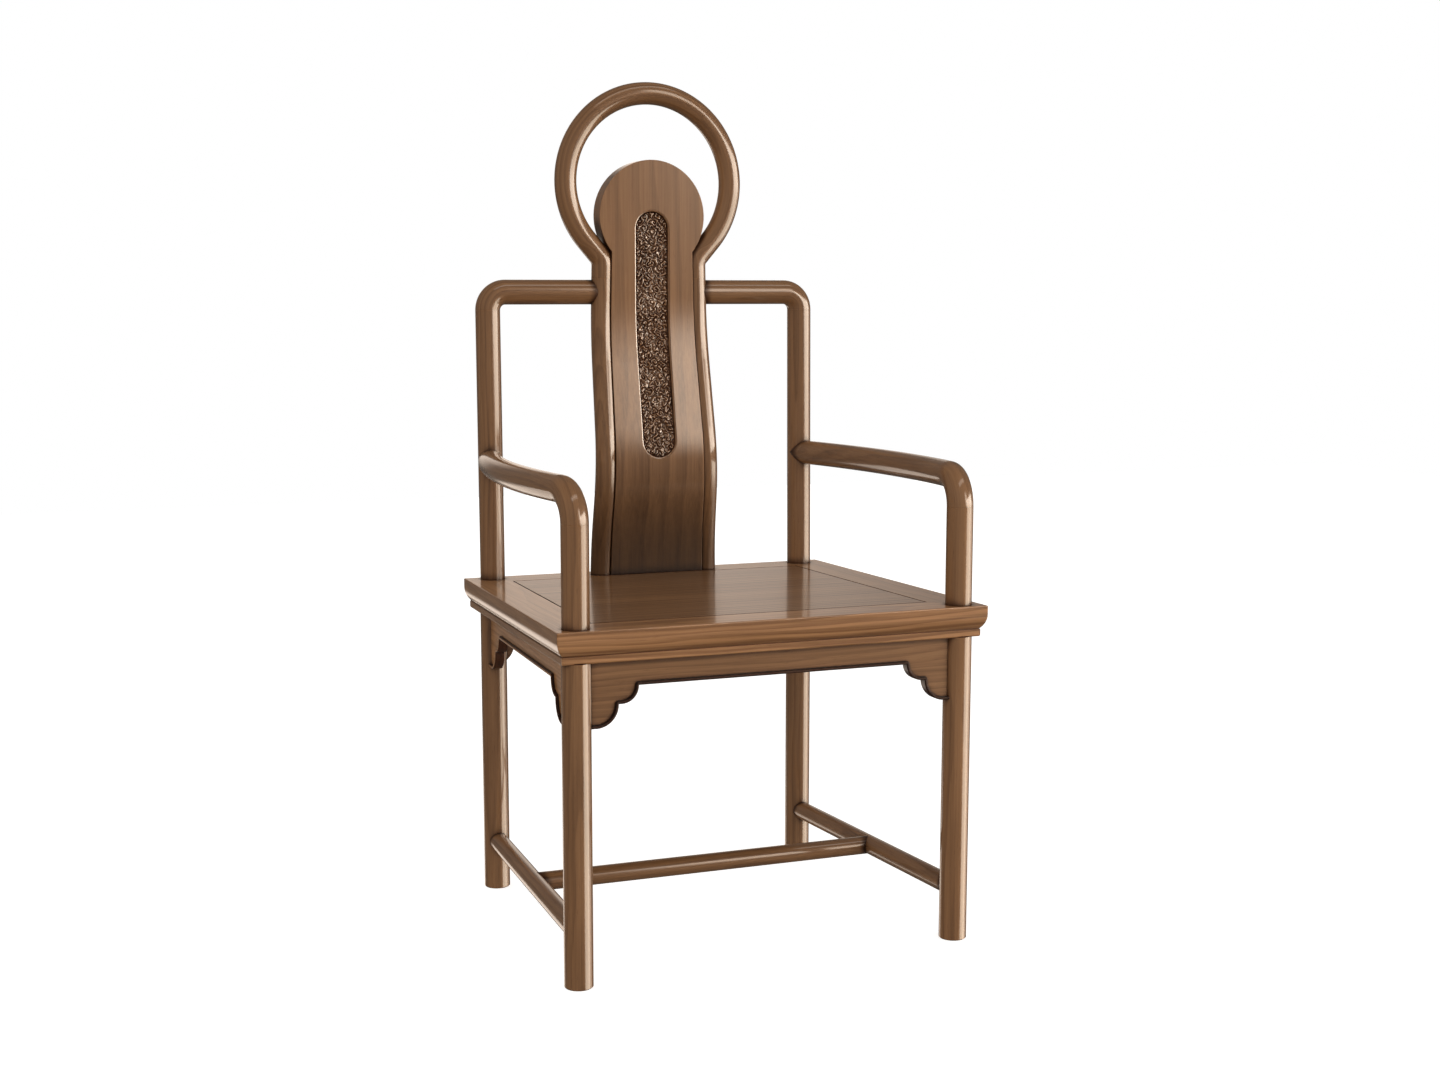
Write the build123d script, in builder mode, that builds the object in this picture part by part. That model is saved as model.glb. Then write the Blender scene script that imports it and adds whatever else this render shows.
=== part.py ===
from build123d import *
import os
from math import cos, radians, sin, sqrt

# Armchair with a keyhole-shaped back, in turned and bent hardwood. Millimetres, +Z up, the sitter faces -Y.
# The origin is on the floor, under the middle of the chair's plan.

# ---- Seat ----
seat_height = 480.0
seat_thickness = 44.0
seat_width_front = 625.0
seat_width_back = 587.0
seat_depth = 528.0
front_rail_width = 58.0
side_rail_width = 62.0
back_rail_width = 56.0
panel_thickness = 22.0
panel_gap = 2.0
tongue_depth = 8.0
tongue_thickness = 8.0

# ---- Moulded edge of the seat frame ----
edge_round = 1.5
edge_lip = 13.0
ogee_inset = 8.5
ogee_bottom = 33.0
band_step = 1.2

# ---- Legs, and the posts that stand on their tenons above the seat ----
leg_radius = 19.5
post_radius = 18.5
front_leg_setback = 25.0
back_leg_setback = 21.0
front_leg_inset = 33.0
back_leg_inset = 39.3
back_post_rake = 6.5
foot_chamfer = 1.5

# ---- Arms and top rail ----
arm_height = 658.0
arm_elbow_radius = 42.0
arm_toe_in = 7.0
top_rail_height = 910.0
top_elbow_radius = 27.0

# ---- Keyhole frame: ring, necks and stiles ----
rod_radius = 16.6
ring_height = 1074.6
ring_radius = 132.6
neck_angle = 41.0
neck_half_spacing = 74.9
neck_bend_radius = 22.0
foot_half_spacing = 85.6
crown_half_angle = 40.0
neck_joint_drop = 28.0

# ---- S-curve of the back, as heights above the seat and distances ahead of its back edge ----
foot_setback = 35.0
bulge_setback = 57.5
neck_setback = 20.0
foot_straight = 43.0
bulge_rise = 168.0
neck_rise = 370.0
foot_bend_radius = 500.0
bulge_bend_radius = 300.0
neck_bend_back_radius = 500.0

# ---- Splat and its carved panel ----
splat_front = 16.0
splat_back = 14.0
splat_lap = 10.6
head_radius = 84.0
head_height = 1024.0
recess_width = 56.0
recess_bottom = 658.0
recess_top = 1033.0
recess_depth = 10.0
relief_sink = 3.0
edge_break = 1.2

# ---- Aprons ----
apron_thickness = 10.0
apron_stand = 6.0
side_apron_stand = 8.0
apron_edge_height = 402.0
lobe_mid_height = 378.5
lobe_foot_height = 348.0
inner_cusp = 83.5
outer_cusp = 55.5
side_inner_cusp = 88.0
side_outer_cusp = 64.0
back_inner_cusp = 58.0
back_outer_cusp = 31.0
bead_width = 4.5
bead_height = 4.0
apron_tongue_depth = 8.0
apron_tongue_thickness = 6.0

# ---- Stretchers ----
stretcher_radius = 14.0
cross_radius = 13.5
stretcher_height = 74.0

# ---- Joints ----
joint_gap = 0.1
end_gap = 1.0
seat_tenon_radius = 11.5
seat_tenon_rise = 20.0
post_tenon_radius = 9.0
post_tenon_length = 20.0
rail_tenon_radius = 6.0
arm_tenon_radius = 8.0
stretcher_tenon_radius = 8.0
cross_tenon_radius = 6.0
dowel_radius = 5.0
dowel_reach = 14.0
splat_dowel_radius = 4.0
splat_dowel_rises = (90.0, 240.0, 390.0)
foot_tenon_length = 25.0
splat_tenon_width = 100.0
splat_tenon_thickness = 12.0
spline_width = 12.0
spline_thickness = 10.0
spline_length = 24.0
spline_setback = 13.0
spline_cover = 2.0
batten_offset = 95.0
batten_width = 36.0
batten_tenon = 14.0
dovetail_height = 4.0

# ---- Places worked out from the sizes above ----
overall_depth = seat_depth + back_post_rake + post_radius - back_leg_setback
seat_front_y = -overall_depth / 2
seat_back_y = seat_front_y + seat_depth
seat_underside = seat_height - seat_thickness
foot_y = seat_back_y - foot_setback
bulge_y = seat_back_y - bulge_setback
neck_y = seat_back_y - neck_setback
front_leg = Vector(seat_width_front / 2 - front_leg_inset, seat_front_y + front_leg_setback, 0)
back_leg = Vector(seat_width_back / 2 - back_leg_inset, seat_back_y - back_leg_setback, 0)
top_corner = Vector(back_leg.X, back_leg.Y + back_post_rake, top_rail_height)
back_post_foot = Vector(back_leg.X, back_leg.Y, seat_height)
back_post_lean = (top_corner - back_post_foot).normalized()
up = Vector(0, 0, 1)
sideways = Vector(1, 0, 0)

os.makedirs("parts", exist_ok=True)


def write_piece(piece, node):
    piece.part.label = node
    export_step(piece.part, f"parts/{node}.step")


def write_pair(piece, name):
    """Writes a right-hand piece and its mirror image for the left."""
    write_piece(piece, f"right_{name}")
    with BuildPart() as other_hand:
        mirror(piece.part, about=Plane.YZ)
    write_piece(other_hand, f"left_{name}")


def round_bar(start, direction, length, radius):
    """A round bar, peg or hole core that starts at a point and runs in a direction."""
    with BuildPart() as bar:
        with BuildSketch(Plane(origin=start, z_dir=direction)):
            Circle(radius)
        extrude(amount=length)
    return bar.part


def bent_bar(path, radius):
    """A round bar that follows a path."""
    with BuildPart() as bar:
        with BuildSketch(Plane(origin=path @ 0, z_dir=path % 0)):
            Circle(radius)
        sweep(path=path)
    return bar.part


def outline_plate(corners, bottom, height):
    """A flat plate with straight edges."""
    with BuildPart() as plate:
        with BuildSketch(Plane.XY.offset(bottom)):
            with BuildLine():
                Polyline(*corners, close=True)
            make_face()
        extrude(amount=height)
    return plate.part


# ---- Paths of the bent pieces ----
def top_rail_end():
    return stile_x(top_rail_height)


ring_tangent_x = ring_radius * cos(radians(neck_angle))
ring_tangent_z = ring_height - ring_radius * sin(radians(neck_angle))
neck_run = (ring_tangent_x - neck_half_spacing) / sin(radians(neck_angle))
neck_height = ring_tangent_z - neck_run * cos(radians(neck_angle))
neck_joint_height = neck_height - neck_joint_drop
stile_direction = Vector(neck_half_spacing - foot_half_spacing, 0, neck_height - seat_height).normalized()


def stile_x(height):
    """Half the spacing of the stiles' centre lines at a height."""
    return foot_half_spacing + stile_direction.X / stile_direction.Z * (height - seat_height)


def back_curve(shift, bottom, top):
    """Corner points (distance back, height) of the back's S-curve, moved forwards or back by a shift."""
    return [
        (foot_y + shift, bottom),
        (foot_y + shift, seat_height + foot_straight),
        (bulge_y + shift, seat_height + bulge_rise),
        (neck_y + shift, seat_height + neck_rise),
        (neck_y + shift, top),
    ]


back_bends = [foot_bend_radius, bulge_bend_radius, neck_bend_back_radius]
tenon_margin = 6.0
stile_plane = Plane(
    origin=(foot_half_spacing, 0, seat_height),
    x_dir=(0, 1, 0),
    z_dir=Vector(stile_direction.Z, 0, -stile_direction.X),
)
stile_points = [
    (y, (z - seat_height) / stile_direction.Z)
    for y, z in back_curve(0, seat_height - tenon_margin, neck_joint_height)
]
with BuildLine(stile_plane) as stile_path:
    FilletPolyline(*stile_points, radius=back_bends)

crown_start = 90 - crown_half_angle
ring_plane = Plane.XZ.offset(-neck_y)
with BuildLine(ring_plane) as shoulder_path:
    FilletPolyline(
        (stile_x(neck_joint_height), neck_joint_height),
        (neck_half_spacing, neck_height),
        (ring_tangent_x, ring_tangent_z),
        radius=neck_bend_radius,
    )
    CenterArc((0, ring_height), ring_radius, -neck_angle, neck_angle + crown_start)

with BuildLine(ring_plane) as crown_path:
    CenterArc((0, ring_height), ring_radius, crown_start, 2 * crown_half_angle)

arm_corner = Vector(front_leg.X, front_leg.Y, arm_height)
arm_heading = Vector(sin(radians(arm_toe_in)), cos(radians(arm_toe_in)), 0)
arm_back_rise = (arm_height - seat_height) / (top_rail_height - seat_height)
arm_back_end = Vector(back_leg.X, back_leg.Y + back_post_rake * arm_back_rise, arm_height)
diagonal = 1 - 1 / sqrt(2)
with BuildLine() as arm_path:
    ThreePointArc(
        arm_corner - up * arm_elbow_radius,
        arm_corner + (arm_heading - up) * (arm_elbow_radius * diagonal),
        arm_corner + arm_heading * arm_elbow_radius,
    )
    TangentArc(arm_corner + arm_heading * arm_elbow_radius, arm_back_end, tangent=arm_heading)

with BuildLine() as top_rail_path:
    ThreePointArc(
        top_corner - back_post_lean * top_elbow_radius,
        top_corner - (sideways + back_post_lean) * (top_elbow_radius * diagonal),
        top_corner - sideways * top_elbow_radius,
    )
    Line(top_corner - sideways * top_elbow_radius, (top_rail_end(), top_corner.Y, top_corner.Z))

# ---- Round stock that the pieces beside it are coped against ----
stile_bar = bent_bar(stile_path.wire(), rod_radius)
shoulder_bar = bent_bar(shoulder_path.wire(), rod_radius)
front_leg_bar = round_bar(front_leg, up, seat_underside, leg_radius)
back_leg_bar = round_bar(back_leg, up, seat_underside, leg_radius)
back_post_bar = round_bar(back_post_foot, back_post_lean, top_rail_height - seat_height, post_radius)
side_stretcher_start = front_leg + up * stretcher_height
side_stretcher_end = back_leg + up * stretcher_height
side_stretcher_run = side_stretcher_end - side_stretcher_start
side_stretcher_way = side_stretcher_run.normalized()
side_stretcher_bar = round_bar(
    side_stretcher_start, side_stretcher_way, side_stretcher_run.length, stretcher_radius
)
cross_start = side_stretcher_start + side_stretcher_run / 2


# ---- Aprons: outline, with two lobes running down to each leg ----
# The bead is worked in layers (inset, start, end), so that its crown is narrower than its root.
bead_layers = (
    (0.0, 0.0, bead_height * 0.65),
    (bead_width * 0.09, bead_height * 0.65, bead_height * 0.87),
    (bead_width * 0.24, bead_height * 0.87, bead_height),
)


class ApronPlace:
    """Where an apron stands: between two legs, facing outwards, its face ahead of the legs' centre line."""

    def __init__(self, start, end, stand, inner, outer):
        along = (end - start).normalized()
        self.half_span = (end - start).length / 2
        self.plane = Plane(origin=(start + end) / 2, x_dir=along, z_dir=along.cross(up))
        self.stand = stand
        self.inner_cusp = inner
        self.outer_cusp = outer


def apron_outline(place, grow):
    """The face of an apron; grow moves its top and ends outwards and leaves its lobed lower edge."""
    half = place.half_span
    outer_radius = lobe_mid_height - lobe_foot_height
    inner_radius = apron_edge_height - lobe_mid_height
    foot_x = -(half - place.outer_cusp) - outer_radius
    inner_centre = -(half - place.inner_cusp) - inner_radius
    with BuildSketch() as face:
        with BuildLine():
            Polyline(
                (0, seat_underside + grow),
                (-half - grow, seat_underside + grow),
                (-half - grow, lobe_foot_height),
                (foot_x, lobe_foot_height),
            )
            CenterArc((foot_x, lobe_mid_height), outer_radius, -90, 90)
            Line((foot_x + outer_radius, lobe_mid_height), (inner_centre, lobe_mid_height))
            CenterArc((inner_centre, apron_edge_height), inner_radius, -90, 90)
            Line((inner_centre + inner_radius, apron_edge_height), (0, apron_edge_height))
            mirror(about=Plane.YZ)
        make_face()
    return face.sketch


def apron_field(place, inset):
    """The face of an apron with only its lobed lower edge moved inwards."""
    with BuildSketch() as field:
        add(apron_outline(place, inset))
        if inset > 0:
            offset(amount=-inset)
    return field.sketch


def apron_body(place, leg_bars):
    """An apron with its raised bead, coped to the legs, with tongues for the legs and the seat frame."""
    tongue_reach = leg_radius - apron_tongue_depth
    with BuildPart() as apron:
        with BuildSketch(place.plane.offset(place.stand)):
            add(apron_outline(place, 0))
        extrude(amount=-apron_thickness)
        for inset, low, high in bead_layers:
            with BuildSketch(place.plane.offset(place.stand + low)):
                add(apron_field(place, inset))
                add(apron_field(place, bead_width - inset), mode=Mode.SUBTRACT)
            extrude(amount=high - low)
        for leg_bar in leg_bars:
            add(leg_bar, mode=Mode.SUBTRACT)
        add(apron_tongues(place, tongue_reach, 0), mode=Mode.ADD)
    return apron.part


def apron_tongues(place, reach, gap):
    """The tongues of an apron, or with a gap the slots that hold them."""
    half = place.half_span
    tongue_half = apron_tongue_thickness / 2 + gap
    board_middle = place.stand - apron_thickness / 2
    middle = (lobe_mid_height + seat_underside) / 2
    height = seat_underside - lobe_mid_height - 2 * end_gap
    length = leg_radius - reach + apron_tongue_depth
    top_length = 2 * (half - back_leg_inset)
    with BuildPart() as tongues:
        with BuildSketch(place.plane.offset(board_middle - tongue_half)):
            with Locations((half - reach - length / 2, middle), (-(half - reach - length / 2), middle)):
                Rectangle(length + 2 * gap, height + 2 * gap)
            with Locations((0, seat_underside + apron_tongue_depth / 4)):
                Rectangle(top_length + 2 * gap, apron_tongue_depth * 1.5 + 2 * gap)
        extrude(amount=2 * tongue_half)
    return tongues.part


left_front_leg_place = Vector(-front_leg.X, front_leg.Y, 0)
left_back_leg_place = Vector(-back_leg.X, back_leg.Y, 0)
front_apron_place = ApronPlace(left_front_leg_place, front_leg, apron_stand, inner_cusp, outer_cusp)
side_apron_place = ApronPlace(front_leg, back_leg, side_apron_stand, side_inner_cusp, side_outer_cusp)
back_apron_place = ApronPlace(back_leg, left_back_leg_place, apron_stand, back_inner_cusp, back_outer_cusp)
slot_reach = leg_radius - apron_tongue_depth - end_gap
front_slots = apron_tongues(front_apron_place, slot_reach, joint_gap)
side_slots = apron_tongues(side_apron_place, slot_reach, joint_gap)
back_slots = apron_tongues(back_apron_place, slot_reach, joint_gap)

# ---- Legs ----
front_stretcher_mortise = round_bar(
    side_stretcher_start, side_stretcher_way, 2 * leg_radius, stretcher_tenon_radius + joint_gap
)
back_stretcher_mortise = round_bar(
    side_stretcher_end, side_stretcher_way * -1, 2 * leg_radius, stretcher_tenon_radius + joint_gap
)
arm_tenon_way = (arm_path.line % 1) * -1
arm_mortise = round_bar(arm_back_end, arm_tenon_way, 2 * post_radius, arm_tenon_radius + joint_gap)

seat_tenon_length = seat_thickness + seat_tenon_rise


def leg_stock(place):
    """A turned leg from the floor to the seat frame, with the tenon that goes on through the frame."""
    with BuildPart() as leg:
        with Locations(place):
            Cylinder(leg_radius, seat_underside, align=(Align.CENTER, Align.CENTER, Align.MIN))
        chamfer(leg.edges().group_by(Axis.Z)[0], foot_chamfer)
        with Locations(place + up * seat_underside):
            Cylinder(seat_tenon_radius, seat_tenon_length, align=(Align.CENTER, Align.CENTER, Align.MIN))
    return leg.part


def post_socket(place):
    """The socket in the foot of a post for the leg's tenon."""
    return round_bar(place + up * seat_height, up, seat_tenon_rise + end_gap, seat_tenon_radius + joint_gap)


with BuildPart() as front_leg_piece:
    add(leg_stock(front_leg))
    add(front_stretcher_mortise, mode=Mode.SUBTRACT)
    add(front_slots, mode=Mode.SUBTRACT)
    add(side_slots, mode=Mode.SUBTRACT)
write_pair(front_leg_piece, "front_leg")

with BuildPart() as back_leg_piece:
    add(leg_stock(back_leg))
    add(back_stretcher_mortise, mode=Mode.SUBTRACT)
    add(back_slots, mode=Mode.SUBTRACT)
    add(side_slots, mode=Mode.SUBTRACT)
write_pair(back_leg_piece, "back_leg")

# ---- Posts ----
arm_post_length = arm_height - arm_elbow_radius - seat_height
with BuildPart() as arm_post:
    with Locations(front_leg + up * seat_height):
        Cylinder(post_radius, arm_post_length, align=(Align.CENTER, Align.CENTER, Align.MIN))
        Cylinder(
            post_tenon_radius,
            arm_post_length + post_tenon_length,
            align=(Align.CENTER, Align.CENTER, Align.MIN),
        )
    add(post_socket(front_leg), mode=Mode.SUBTRACT)
write_pair(arm_post, "arm_post")

back_post_length = (top_corner - back_post_foot).length - top_elbow_radius
back_post_start = back_post_foot - back_post_lean * post_radius
with BuildPart() as back_post:
    add(round_bar(back_post_start, back_post_lean, back_post_length + post_radius, post_radius))
    add(round_bar(back_post_foot, back_post_lean, back_post_length + post_tenon_length, post_tenon_radius))
    split(bisect_by=Plane.XY.offset(seat_height), keep=Keep.TOP)
    add(post_socket(back_leg), mode=Mode.SUBTRACT)
    add(arm_mortise, mode=Mode.SUBTRACT)
write_pair(back_post, "back_post")

# ---- Side stretchers and the cross stretcher between them ----
cross_mortise = round_bar(cross_start, sideways * -1, 2 * stretcher_radius, cross_tenon_radius + joint_gap)
with BuildPart() as side_stretcher:
    add(side_stretcher_bar)
    add(front_leg_bar, mode=Mode.SUBTRACT)
    add(back_leg_bar, mode=Mode.SUBTRACT)
    add(
        round_bar(
            side_stretcher_start + side_stretcher_way * end_gap,
            side_stretcher_way,
            side_stretcher_run.length - 2 * end_gap,
            stretcher_tenon_radius,
        )
    )
    add(cross_mortise, mode=Mode.SUBTRACT)
write_pair(side_stretcher, "side_stretcher")

with BuildPart() as left_stretcher_bar:
    mirror(side_stretcher_bar, about=Plane.YZ)
with BuildPart() as cross_stretcher:
    add(round_bar(cross_start, sideways * -1, 2 * cross_start.X, cross_radius))
    add(side_stretcher_bar, mode=Mode.SUBTRACT)
    add(left_stretcher_bar.part, mode=Mode.SUBTRACT)
    add(
        round_bar(
            cross_start - sideways * end_gap,
            sideways * -1,
            2 * (cross_start.X - end_gap),
            cross_tenon_radius,
        )
    )
write_piece(cross_stretcher, "cross_stretcher")


# ---- Seat frame: four mitred rails with a moulded outer edge ----
def side_x(y):
    """Half the seat's width at a distance from front to back."""
    share = (y - seat_front_y) / seat_depth
    return (seat_width_front + (seat_width_back - seat_width_front) * share) / 2


def opening(grow):
    """Corners of the seat frame's opening, grown on every side, from the front left round to the back left."""
    front = seat_front_y + front_rail_width - grow
    back = seat_back_y - back_rail_width + grow
    front_x = side_x(front) - side_rail_width + grow
    back_x = side_x(back) - side_rail_width + grow
    return [(-front_x, front), (front_x, front), (back_x, back), (-back_x, back)]


def moulding_waste(start, end):
    """What the moulding plane takes off an outer edge that runs anticlockwise from start to end."""
    way = (end - start).normalized()
    over = 40.0
    edge_plane = Plane(origin=start + up * seat_height - way * over, x_dir=up.cross(way), z_dir=way)
    clear = 6.0
    with BuildPart() as waste:
        with BuildSketch(edge_plane):
            with BuildLine():
                Line((edge_round, clear), (edge_round, 0))
                RadiusArc((edge_round, 0), (0, -edge_round), -edge_round)
                Line((0, -edge_round), (0, -edge_lip))
                ogee = TangentArc((0, -edge_lip), (ogee_inset, -ogee_bottom), tangent=(0, -1))
                Polyline(
                    ogee @ 1,
                    (ogee_inset - band_step, -ogee_bottom - 1),
                    (ogee_inset - band_step, -seat_thickness + edge_round),
                    (ogee_inset + edge_round - band_step, -seat_thickness),
                    (ogee_inset + edge_round - band_step, -seat_thickness - clear),
                    (-clear, -seat_thickness - clear),
                    (-clear, clear),
                    (edge_round, clear),
                )
            make_face()
        extrude(amount=(end - start).length + 2 * over)
    return waste.part


seat_corners = [
    Vector(-seat_width_front / 2, seat_front_y, 0),
    Vector(seat_width_front / 2, seat_front_y, 0),
    Vector(seat_width_back / 2, seat_back_y, 0),
    Vector(-seat_width_back / 2, seat_back_y, 0),
]
inner_corners = [Vector(x, y, 0) for x, y in opening(0)]
panel_bottom = seat_height - panel_thickness
tongue_room = 0.5
tongue_space = outline_plate(
    opening(tongue_depth + tongue_room), panel_bottom - joint_gap, tongue_thickness + 2 * joint_gap
)
leg_places = [
    left_front_leg_place,
    front_leg,
    back_leg,
    left_back_leg_place,
]

# The splines lie just below the panel's groove.
spline_bottom = panel_bottom - spline_cover - spline_thickness
spline_places = []
for outer, inner in zip(seat_corners, inner_corners):
    mitre = (outer - inner).normalized()
    spline_places.append(
        Plane(
            origin=inner + mitre * spline_setback + up * spline_bottom,
            x_dir=mitre,
            z_dir=up,
        )
    )


def splines(gap):
    """The loose splines across the mitres, or with a gap their housings."""
    with BuildPart() as keys:
        for place in spline_places:
            with BuildSketch(place.offset(-gap)):
                Rectangle(spline_width + 2 * gap, spline_length + 2 * gap)
            extrude(amount=spline_thickness + 2 * gap)
    return keys.part


spline_housings = splines(joint_gap)
with BuildPart() as spline_piece:
    add(splines(0))
write_piece(spline_piece, "mitre_splines")


# ---- Battens under the seat panel ----
def batten(x, gap):
    """A batten with a dovetailed top, tenoned into the front and back rails."""
    front = seat_front_y + front_rail_width
    back = seat_back_y - back_rail_width
    tail = batten_width / 4
    batten_plane = Plane(origin=(x, front, seat_underside), x_dir=(1, 0, 0), z_dir=(0, 1, 0))
    depth = panel_bottom - seat_underside
    with BuildPart() as bar:
        with BuildSketch(batten_plane):
            with BuildLine():
                Polyline(
                    (-batten_width / 2, 0),
                    (batten_width / 2, 0),
                    (batten_width / 2, -depth),
                    (tail + gap, -depth),
                    (tail + dovetail_height / 2 + gap, -depth - dovetail_height - gap),
                    (-tail - dovetail_height / 2 - gap, -depth - dovetail_height - gap),
                    (-tail - gap, -depth),
                    (-batten_width / 2, -depth),
                    close=True,
                )
            make_face()
        extrude(amount=back - front)
        with BuildSketch(batten_plane.offset(-batten_tenon - gap)):
            with Locations((0, -depth / 2)):
                Rectangle(batten_width / 2 + 2 * gap, depth / 2 + 2 * gap)
        extrude(amount=back - front + 2 * (batten_tenon + gap))
    return bar.part


with BuildPart() as panel_batten:
    add(batten(batten_offset, 0))
write_pair(panel_batten, "panel_batten")
with BuildPart() as batten_room:
    add(batten(batten_offset, joint_gap))
    add(batten(-batten_offset, joint_gap))

with BuildPart() as seat_panel:
    add(outline_plate(opening(-panel_gap), panel_bottom, panel_thickness))
    chamfer(seat_panel.edges().group_by(Axis.Z)[-1], edge_break / 2)
    add(outline_plate(opening(tongue_depth), panel_bottom, tongue_thickness))
    add(batten_room.part, mode=Mode.SUBTRACT)
write_piece(seat_panel, "seat_panel")

# ---- What stands in the back rail: the stiles' tenons and the splat's tenon ----
splat_tenon_y = foot_y + (splat_back - splat_front) / 2
stile_foot = Vector(foot_half_spacing, foot_y, seat_height)


def splat_tenon(gap):
    with BuildPart() as tenon:
        with BuildSketch(Plane.XY.offset(seat_height + gap)):
            with Locations((0, splat_tenon_y)):
                Rectangle(splat_tenon_width + 2 * gap, splat_tenon_thickness + 2 * gap)
        extrude(amount=-foot_tenon_length - 2 * gap)
    return tenon.part


stile_mortise = round_bar(stile_foot, up * -1, foot_tenon_length + end_gap, arm_tenon_radius + joint_gap)
apron_tongue_rooms = (
    front_slots,
    side_slots,
    back_slots,
    mirror(side_slots, about=Plane.YZ, mode=Mode.PRIVATE),
)
rail_nodes = ("seat_front_rail", "seat_right_rail", "seat_back_rail", "seat_left_rail")
for side, node in enumerate(rail_nodes):
    after = (side + 1) % 4
    corners = (seat_corners[side], seat_corners[after], inner_corners[after], inner_corners[side])
    waste = moulding_waste(seat_corners[side], seat_corners[after])
    blank = outline_plate([(c.X, c.Y) for c in corners], seat_underside, seat_thickness)
    with BuildPart() as rail:
        add(blank)
        add(waste, mode=Mode.SUBTRACT)
        add(tongue_space, mode=Mode.SUBTRACT)
        with Locations(*[place + up * seat_height for place in leg_places]):
            Hole(seat_tenon_radius + joint_gap, depth=seat_thickness)
        add(spline_housings, mode=Mode.SUBTRACT)
        add(apron_tongue_rooms[side], mode=Mode.SUBTRACT)
        add(batten_room.part, mode=Mode.SUBTRACT)
        if node == "seat_back_rail":
            add(splat_tenon(joint_gap), mode=Mode.SUBTRACT)
            add(stile_mortise, mode=Mode.SUBTRACT)
            mirror(stile_mortise, about=Plane.YZ, mode=Mode.SUBTRACT)
    write_piece(rail, node)

# ---- Aprons ----
with BuildPart() as left_front_leg_bar:
    mirror(front_leg_bar, about=Plane.YZ)
with BuildPart() as left_back_leg_bar:
    mirror(back_leg_bar, about=Plane.YZ)
with BuildPart() as front_apron:
    add(apron_body(front_apron_place, (front_leg_bar, left_front_leg_bar.part)))
write_piece(front_apron, "front_apron")
with BuildPart() as back_apron:
    add(apron_body(back_apron_place, (back_leg_bar, left_back_leg_bar.part)))
write_piece(back_apron, "back_apron")
with BuildPart() as side_apron:
    add(apron_body(side_apron_place, (front_leg_bar, back_leg_bar)))
write_pair(side_apron, "side_apron")

# ---- Arms ----
with BuildPart() as arm:
    add(bent_bar(arm_path.wire(), post_radius))
    add(back_post_bar, mode=Mode.SUBTRACT)
    add(
        round_bar(
            arm_back_end + arm_tenon_way * end_gap,
            arm_tenon_way,
            2 * post_radius,
            arm_tenon_radius,
        )
    )
    add(
        round_bar(
            arm_corner - up * (arm_elbow_radius + end_gap),
            up,
            post_tenon_length + 2 * end_gap,
            post_tenon_radius + joint_gap,
        ),
        mode=Mode.SUBTRACT,
    )
write_pair(arm, "arm")

# ---- Top rails ----
rail_tenon_start = Vector(top_rail_end(), top_corner.Y, top_corner.Z)
with BuildPart() as top_rail:
    add(bent_bar(top_rail_path.wire(), post_radius))
    add(stile_bar, mode=Mode.SUBTRACT)
    add(shoulder_bar, mode=Mode.SUBTRACT)
    add(round_bar(rail_tenon_start, sideways, 2 * post_radius, rail_tenon_radius))
    add(
        round_bar(
            top_corner - back_post_lean * (top_elbow_radius + end_gap),
            back_post_lean,
            post_tenon_length + 2 * end_gap,
            post_tenon_radius + joint_gap,
        ),
        mode=Mode.SUBTRACT,
    )
write_pair(top_rail, "top_rail")

# ---- Keyhole frame ----
neck_joint = Vector(stile_x(neck_joint_height), neck_y, neck_joint_height)
crown_joint = Vector(
    ring_radius * cos(radians(crown_start)), neck_y, ring_height + ring_radius * sin(radians(crown_start))
)
crown_joint_way = Vector(-sin(radians(crown_start)), 0, cos(radians(crown_start)))


def joint_dowel(place, way, gap):
    reach = dowel_reach + 5 * gap
    return round_bar(place - way * reach, way, 2 * reach, dowel_radius + gap)


def splat_dowels(gap):
    """Dowels across the joint between the splat's right edge and the stile."""
    with BuildPart() as dowels:
        for rise in splat_dowel_rises:
            height = seat_height + rise
            y = stile_y(height)
            start = Vector(stile_x(height) - rod_radius - dowel_reach, y, height)
            length = 2 * dowel_reach - 4 + 2 * gap
            add(round_bar(start - sideways * gap, sideways, length, splat_dowel_radius + gap))
    return dowels.part


def stile_y(height):
    """How far back the stile's centre line is at a height."""
    cut = stile_path.wire().intersect(Plane.XY.offset(height))
    return cut.vertices()[0].Y if hasattr(cut, "vertices") else cut[0].Y


with BuildPart() as ring_dowels:
    add(joint_dowel(neck_joint, stile_direction, 0))
    add(joint_dowel(crown_joint, crown_joint_way, 0))
    mirror(about=Plane.YZ)
write_piece(ring_dowels, "ring_dowels")

with BuildPart() as splat_dowel_piece:
    add(splat_dowels(0))
    mirror(about=Plane.YZ)
write_piece(splat_dowel_piece, "splat_dowels")

with BuildPart() as stile:
    add(stile_bar)
    split(bisect_by=Plane.XY.offset(seat_height), keep=Keep.TOP)
    stile_tenon_length = foot_tenon_length + tenon_margin
    add(round_bar(stile_foot + up * tenon_margin, up * -1, stile_tenon_length, arm_tenon_radius))
    add(joint_dowel(neck_joint, stile_direction, joint_gap), mode=Mode.SUBTRACT)
    add(splat_dowels(joint_gap), mode=Mode.SUBTRACT)
    add(
        round_bar(
            rail_tenon_start - sideways * end_gap,
            sideways,
            2 * rod_radius,
            rail_tenon_radius + joint_gap,
        ),
        mode=Mode.SUBTRACT,
    )
write_pair(stile, "stile")

with BuildPart() as ring_shoulder:
    add(shoulder_bar)
    add(joint_dowel(neck_joint, stile_direction, joint_gap), mode=Mode.SUBTRACT)
    add(joint_dowel(crown_joint, crown_joint_way, joint_gap), mode=Mode.SUBTRACT)
write_pair(ring_shoulder, "ring_shoulder")

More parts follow.
